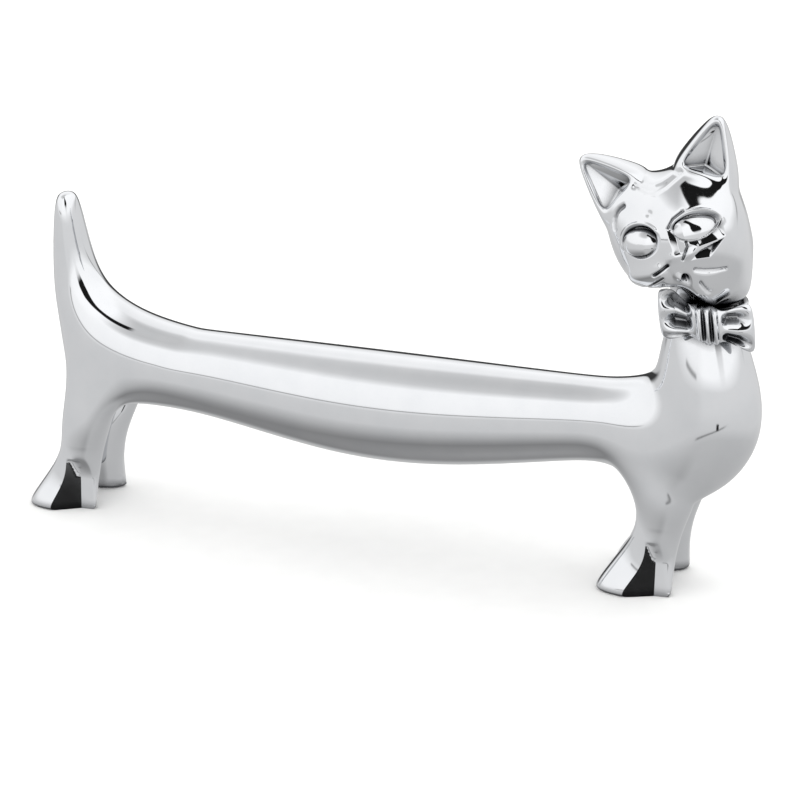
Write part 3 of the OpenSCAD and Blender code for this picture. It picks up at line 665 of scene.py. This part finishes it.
def faceLift(x, z):
    f = faceMarks
    lift = sum(eyeLift(x, z, eye) for eye in f["eyes"]) + furrowLift(x, z)
    for rise, acrossX, upZ in f["swells"]:
        lift += rise * bell(x, *acrossX) * bell(z, *upZ)
    rise, upZ, inner, outer = f["shelf"]
    lift += rise * bell(z, *upZ) * ease(*inner, x) * ease(*outer, x)
    rise, (bagX, bagZ), (long, wide), turn, spread = f["bag"]
    c, s = math.cos(math.radians(turn)), math.sin(math.radians(turn))
    along, across = (x - bagX) * c + (z - bagZ) * s, (z - bagZ) * c - (x - bagX) * s
    lift += rise * bell(math.hypot(along / long, across / wide), 0, spread)
    rise, (dotX, dotZ), spread = f["dot"]
    lift += rise * bell(math.hypot(x - dotX, z - dotZ), 0, spread)
    lift -= sum(pitDepth(x, z, pit) for pit in f["pits"])
    for deep, half, both, line in f["cuts"]:
        lift -= deep * bell(lineDistance(abs(x) if both else x, z, line), 0, half)
    return lift


def buff(bm, verts, turns):
    for turn in range(turns):
        bmesh.ops.smooth_vert(bm, verts=verts, factor=0.5,
                              use_axis_x=True, use_axis_y=True, use_axis_z=True)


def workFace(bm):
    f = faceMarks
    for deep, wide, (low, high) in f["zones"]:
        def inZone(spot, rim):
            return spot.y < deep and abs(spot.x) < wide - rim and low + rim < spot.z < high - rim
        zone = {v for v in bm.verts if inZone(v.co, 0)}
        edges = [e for e in bm.edges if zone.issuperset(e.verts)]
        bmesh.ops.subdivide_edges(bm, edges=edges, cuts=1, use_grid_fill=True)
        buff(bm, [v for v in bm.verts if inZone(v.co, f["zoneRim"])], f["zoneBuffs"])
    bm.normal_update()
    lifts = {}
    for vert in bm.verts:
        share = ease(*f["sideFade"], vert.co.y) * ease(*f["turnFade"], -vert.normal.y)
        if share > 0:
            lifts[vert] = vert.normal * faceLift(vert.co.x, vert.co.z) * share
    for vert, lift in lifts.items():
        vert.co += lift


# The jaw hangs down before the neck, as far as the knot lets it.
def hangJaw(bm):
    h = headCast
    top, foot = neck["height"] + h["jawTop"], neck["height"] + h["jawFoot"]
    hung = []
    for vert in bm.verts:
        x, y, z = vert.co
        share = bell(x, neck["x"] + h["jawShift"], h["jawSpread"]) * ease(*h["jawFront"], y)
        fade = ease(top, top - h["jawFade"], z) * ease(foot, foot + h["jawFootFade"], z)
        vert.co.z -= h["jawDrop"] * share * fade
        if share > 0.02 and foot < z < neck["height"] + h["jawBuffTop"]:
            hung.append(vert)
    buff(bm, hung, h["jawBuffs"])


def makeHead():
    bm = bmesh.new()
    fronts = drawHead(bm)
    hollowEars(bm, fronts)
    smoothed(bm, headCast["levels"])
    workFace(bm)
    bmesh.ops.transform(bm, matrix=headPlace, verts=bm.verts)
    hangJaw(bm)
    finishPiece(bm, "headCasting", "head_casting")


makeHead()


# Bow tie: two loops and a knot with three pleats
bowTie = {
    "length": 11.4, "height": 6.3, "depth": 2.2, "knotLength": 2.8, "knotHeight": 4.6, "knotEdge": 0.15,
    "turn": 16.0, "tilt": 8.0, "slant": 7.0, "standOff": 6.05, "curve": 0.035, "levels": 5,
    "pleats": 3, "pleatRise": 0.75, "pleatFade": 0.3,
    # folds in each loop: height on the loop, half width, depth
    "leftFolds": ((0.6, 0.33, 1.8), (-0.12, 0.33, 1.9), (-0.8, 0.12, 0.5)),
    "rightFolds": ((0.45, 0.3, 1.3), (-0.6, 0.25, 1.5)),
    # where they deepen from the knot on, where they end, how they run out, how far they close at the knot
    "foldStart": 0.22, "foldStop": 0.97, "foldFade": 0.45, "foldWaist": 0.42,
    # the left loop swells upwards between the knot and its end
    "leafRise": 0.34, "leafAt": 0.6, "leafSpread": 0.224,
}


def bowRing(u, height, depth):
    away = bowTie["standOff"] - bowTie["curve"] * u * u
    return Matrix(((0, 0, 1, u), (0, ringGain * depth / 2, 0, -away),
                   (ringGain * height / 2, 0, 0, 0), (0, 0, 0, 1)))


# How far the front of the bow stands out or sinks, along and across the bow
def bowLift(u, w):
    b = bowTie
    knot, end = b["knotLength"] / 2 + b["knotEdge"], b["length"] / 2
    out = abs(u)
    if out < knot:
        pleat = abs(math.cos(math.pi * u / (b["knotLength"] / b["pleats"])))
        return b["pleatRise"] * pleat * ease(knot, knot - b["pleatFade"], out)
    s = (out - knot) / (end - knot)
    q = w / mix(b["foldWaist"] * b["knotHeight"], b["height"] / 2, s)
    folds = b["rightFolds"] if u > 0 else b["leftFolds"]
    deep = sum(depth * bell(q, at, spread) for at, spread, depth in folds)
    return -deep * ease(0, b["foldStart"], s) * min(1, max(0, (b["foldStop"] - s) / b["foldFade"]))


def makeBow():
    b = bowTie
    # share of the half length, height and depth from the end to the knot
    rows = ((1, 0.72 * b["height"], 0.6 * b["depth"]), (0.9, 1.08 * b["height"], 1.15 * b["depth"]),
            (b["knotLength"] / b["length"] + 0.1, 0.66 * b["knotHeight"], 0.8 * b["depth"]),
            (b["knotLength"] / b["length"], b["knotHeight"], 1.5 * b["depth"]))
    rings = [bowRing(-share * b["length"] / 2, high, deep) for share, high, deep in rows]
    rings += [bowRing(share * b["length"] / 2, high, deep) for share, high, deep in reversed(rows)]
    bm = bmesh.new()
    drawRun(bm, rings)
    smoothed(bm, b["levels"])
    bmesh.ops.recalc_face_normals(bm, faces=bm.faces)
    lifts = {v: bowLift(v.co.x, v.co.z) * ease(0.1, 0.6, -v.normal.y) for v in bm.verts}
    for vert, lift in lifts.items():
        vert.co.y -= lift
        if vert.co.x < 0 < vert.co.z:
            out = -2 * vert.co.x / b["length"]
            vert.co.z *= 1 + b["leafRise"] * bell(out, b["leafAt"], b["leafSpread"])
    place = Matrix.Translation((neck["x"], 0, neck["height"]))
    place = place @ Matrix.Rotation(math.radians(b["turn"]), 4, "Z")
    drop = Matrix.Identity(4)
    drop[2][0] = -math.tan(math.radians(b["tilt"]))
    drop[0][2] = -math.tan(math.radians(b["slant"]))
    bmesh.ops.transform(bm, matrix=place @ drop, verts=bm.verts)
    finishPiece(bm, "bowTie", "bow_tie")


# Collar band behind the bow, which hides the neck's joint
neckCollar = {"inner": 4.45, "outer": 5.15, "edge": 0.25, "edgeSteps": 4, "steps": 96}


def makeCollar():
    c, half = neckCollar, neck["collarHalf"]
    bm = bmesh.new()
    corners = [bm.verts.new((r, 0, z)) for r, z in (
        (c["inner"], -half), (c["outer"], -half), (c["outer"], half), (c["inner"], half))]
    outline = [bm.edges.new(pair) for pair in zip(corners, corners[1:] + corners[:1])]
    bmesh.ops.spin(bm, geom=corners + outline, axis=(0, 0, 1), cent=(0, 0, 0), angle=math.tau,
                   steps=c["steps"], use_merge=True)
    bmesh.ops.remove_doubles(bm, verts=bm.verts, dist=0.001)
    bmesh.ops.recalc_face_normals(bm, faces=bm.faces)
    rims = [e for e in bm.edges if len(e.link_faces) == 2 and e.calc_face_angle() > 1]
    bmesh.ops.bevel(bm, geom=rims, offset=c["edge"], offset_type="OFFSET", affect="EDGES",
                    segments=c["edgeSteps"], profile=0.5, material=-1)
    bmesh.ops.translate(bm, vec=(neck["x"], 0, neck["height"]), verts=bm.verts)
    finishPiece(bm, "neckCollar", "bow_tie")


makeBow()
makeCollar()

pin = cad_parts["neck_dowel"]
pin.data.materials.clear()
pin.data.materials.append(groundSteel())
print("pin carried over")


# Floor, light tent and camera
def makeFloor():
    bm = bmesh.new()
    bmesh.ops.create_grid(bm, x_segments=1, y_segments=1, size=4)
    mesh = bpy.data.meshes.new("floor")
    bm.to_mesh(mesh)
    bm.free()
    mesh.materials.append(backdropPaper())
    floor = bpy.data.objects.new("floor", mesh)
    bpy.context.scene.collection.objects.link(floor)
    floor.visible_glossy = False  # the tent's own lower half is what the chrome mirrors


# A white tent with its seam lines and the dark slits left open in it
tent = {
    # display brightness by elevation: towards the tail, towards the head, behind
    "tailSide": ((-90, 0.58), (-76, 0.55), (-58, 0.5), (-48, 0.58), (-38, 0.67), (-22, 0.78), (4, 0.8),
                 (14, 0.95), (54, 0.97), (64, 0.8), (74, 0.75), (90, 0.77)),
    "headSide": ((-90, 0.66), (-45, 0.7), (-30, 0.72), (-20, 0.79), (-5, 0.82), (6, 0.83), (12, 0.97),
                 (35, 0.99), (90, 1.0)),
    "behind": ((-90, 0.6), (-45, 0.7), (-20, 0.75), (-9, 0.72), (-6, 0.22), (9, 0.22), (13, 0.85),
               (30, 0.98), (60, 0.92), (90, 0.8)),
    "mirror": 0.83, "diffuseGain": 1.6,
    # where one share of the tent gives way to the next: axis, none, full
    "fades": {"head": ("X", -0.1, 0.2), "rear": ("Y", 0.3, 0.6), "rearEnd": ("X", 0.3, 0.0)},
    # seams lie on planes: normal, offset, half width, darkness, and the span of X that they fill
    "seams": (((0, 0, 1), 0.17, 0.03, 0.6, (-0.6, -0.5, -0.16, -0.06)),
              ((-0.037, -0.315, 1), -0.153, 0.03, 0.55, (-0.02, 0.08, 0.7, 0.85))),
    # slits: the two ends of the line they follow, then half width, soft edge and darkness by elevation
    "slits": ({"ends": ((55, 15), (47, 50)),
               "wide": ((-37, 0.1), (14.5, 0.17), (26.7, 0.21), (40, 0.2), (50, 0.15), (64, 0.09)),
               "soft": ((-10, 0.16), (14, 0.12), (26.7, 0.03)),
               "dark": ((-30, 0.0), (8, 0.0), (17.5, 0.25), (24.2, 0.99))},
              {"ends": ((38.7, -25), (38.7, -8)),
               "wide": ((-20, 0.055), (0, 0.055)),
               "soft": ((-20, 0.025), (0, 0.025)),
               "dark": ((-22, 0.0), (-20.5, 0.97), (-16, 0.97), (-14.5, 0.0))}),
    # they are only at the head's end of the tent
    "slitBack": (-0.1, -0.05),
}


# Unit vector towards an azimuth, counted from the front to the head's end, and an elevation
def bearing(azimuth, elevation):
    a, e = math.radians(azimuth), math.radians(elevation)
    return Vector((math.sin(a) * math.cos(e), -math.cos(a) * math.cos(e), math.sin(e)))


def makeTent():
    t = tent
    world = bpy.data.worlds.new("lightTent")
    bpy.context.scene.world = world
    world.use_nodes = True
    tree = world.node_tree
    tree.nodes.clear()
    way = addNode(tree, "ShaderNodeTexCoord").outputs["Generated"]
    axes = addNode(tree, "ShaderNodeSeparateXYZ", links={"Vector": way}).outputs
    height = addNode(tree, "ShaderNodeMapRange", {"From Min": -1.0},
                     {"Value": axes["Z"]}).outputs["Result"]

    # grey ramps over the height, the walls' ones turned from display brightness to light
    tables = {name: [(e, ((v + 0.055) / 1.055) ** 2.4 / t["mirror"]) for e, v in t[name]]
              for name in ("tailSide", "headSide", "behind")}
    for n, slit in enumerate(t["slits"]):
        tables.update({(n, name): slit[name] for name in ("wide", "soft", "dark")})
    ramps = {}
    for name, stops in tables.items():
        node = addNode(tree, "ShaderNodeValToRGB", links={"Fac": height})
        points = node.color_ramp.elements
        while len(points) < len(stops):
            points.new(0.5)
        for point, (elevation, level) in zip(points, stops):
            point.position = (math.sin(math.radians(elevation)) + 1) / 2
            point.color = (level, level, level, 1)
        ramps[name] = node.outputs["Color"]

    fades = {}
    for name, (axis, none, full) in t["fades"].items():
        fades[name] = addNode(tree, "ShaderNodeMapRange", {"From Min": none, "From Max": full},
                              {"Value": axes[axis]}, interpolation_type="SMOOTHSTEP").outputs["Result"]
    walls = addNode(tree, "ShaderNodeMix",
                    links={"Factor": fades["head"], "A": ramps["tailSide"], "B": ramps["headSide"]})
    rear = addNode(tree, "ShaderNodeMath", links={0: fades["rear"], 1: fades["rearEnd"]},
                   operation="MULTIPLY")
    level = addNode(tree, "ShaderNodeMix",
                    links={"Factor": rear.outputs["Value"], "A": walls.outputs["Result"],
                           "B": ramps["behind"]}).outputs["Result"]

    for normal, offset, half, depth, (start, first, last, end) in t["seams"]:
        plane = addNode(tree, "ShaderNodeVectorMath", {1: normal}, {0: way}, operation="DOT_PRODUCT")
        off = addNode(tree, "ShaderNodeMath", {1: offset}, {0: plane.outputs["Value"]},
                      operation="SUBTRACT")
        off = addNode(tree, "ShaderNodeMath", links={0: off.outputs["Value"]}, operation="ABSOLUTE")
        shade = addNode(tree, "ShaderNodeMapRange", {"From Min": half, "From Max": 0.0, "To Max": depth},
                        {"Value": off.outputs["Value"]},
                        interpolation_type="SMOOTHSTEP").outputs["Result"]
        for none, full in ((start, first), (end, last)):
            fade = addNode(tree, "ShaderNodeMapRange", {"From Min": none, "From Max": full},
                           {"Value": axes["X"]}, interpolation_type="SMOOTHSTEP")
            shade = addNode(tree, "ShaderNodeMath", links={0: shade, 1: fade.outputs["Result"]},
                            operation="MULTIPLY").outputs["Value"]
        level = addNode(tree, "ShaderNodeMix", {"B": 0.0}, {"Factor": shade, "A": level}).outputs["Result"]

    front = addNode(tree, "ShaderNodeMapRange",
                    {"From Min": t["slitBack"][0], "From Max": t["slitBack"][1]},
                    {"Value": axes["X"]}, interpolation_type="SMOOTHSTEP")
    for n, slit in enumerate(t["slits"]):
        low, high = slit["ends"]
        across = bearing(*low).cross(bearing(*high)).normalized()
        off = addNode(tree, "ShaderNodeVectorMath", {1: across}, {0: way}, operation="DOT_PRODUCT")
        off = addNode(tree, "ShaderNodeMath", links={0: off.outputs["Value"]}, operation="ABSOLUTE")
        room = addNode(tree, "ShaderNodeMath", links={0: ramps[(n, "wide")], 1: off.outputs["Value"]},
                       operation="SUBTRACT")
        gap = addNode(tree, "ShaderNodeMapRange", {"From Min": 0.0},
                      {"Value": room.outputs["Value"], "From Max": ramps[(n, "soft")]},
                      interpolation_type="SMOOTHSTEP").outputs["Result"]
        for share in (front.outputs["Result"], ramps[(n, "dark")]):
            gap = addNode(tree, "ShaderNodeMath", links={0: gap, 1: share},
                          operation="MULTIPLY").outputs["Value"]
        level = addNode(tree, "ShaderNodeMix", {"B": 0.0}, {"Factor": gap, "A": level}).outputs["Result"]

    path = addNode(tree, "ShaderNodeLightPath").outputs
    gain = addNode(tree, "ShaderNodeMapRange", {"To Min": 1.0, "To Max": t["diffuseGain"]},
                   {"Value": path["Is Diffuse Ray"]})
    level = addNode(tree, "ShaderNodeMath", links={0: level, 1: gain.outputs["Result"]},
                    operation="MULTIPLY")
    # the lens itself sees plain white behind the floor's edge
    level = addNode(tree, "ShaderNodeMath", links={0: level.outputs["Value"], 1: path["Is Camera Ray"]},
                    operation="MAXIMUM")
    glow = addNode(tree, "ShaderNodeBackground", links={"Color": level.outputs["Value"]})
    addNode(tree, "ShaderNodeOutputWorld", links={"Surface": glow.outputs["Background"]})


lens = {"azimuth": 21.0, "elevation": 19.6, "distance": 300.0, "target": (0.8, 1.25, 20.0),
        "focal": 105.7, "asideRight": 1.6, "asideUp": -0.77}


def makeCamera():
    back = bearing(lens["azimuth"], lens["elevation"])
    right = Vector((math.cos(math.radians(lens["azimuth"])), math.sin(math.radians(lens["azimuth"])), 0))
    target = Vector(lens["target"])
    spot = target + back * lens["distance"]
    aim = target + right * lens["asideRight"] + back.cross(right) * lens["asideUp"]
    data = bpy.data.cameras.new("camera")
    data.lens, data.sensor_width = lens["focal"], 36
    data.clip_start, data.clip_end = 0.01, 50
    camera = bpy.data.objects.new("camera", data)
    bpy.context.scene.collection.objects.link(camera)
    camera.location = spot * mm
    camera.rotation_euler = (spot - aim).to_track_quat("Z", "Y").to_euler()
    bpy.context.scene.camera = camera


makeFloor()
makeTent()
makeCamera()
bpy.context.scene.view_settings.view_transform = "Standard"
print("floor, tent and camera ready")

bpy.context.view_layer.update()
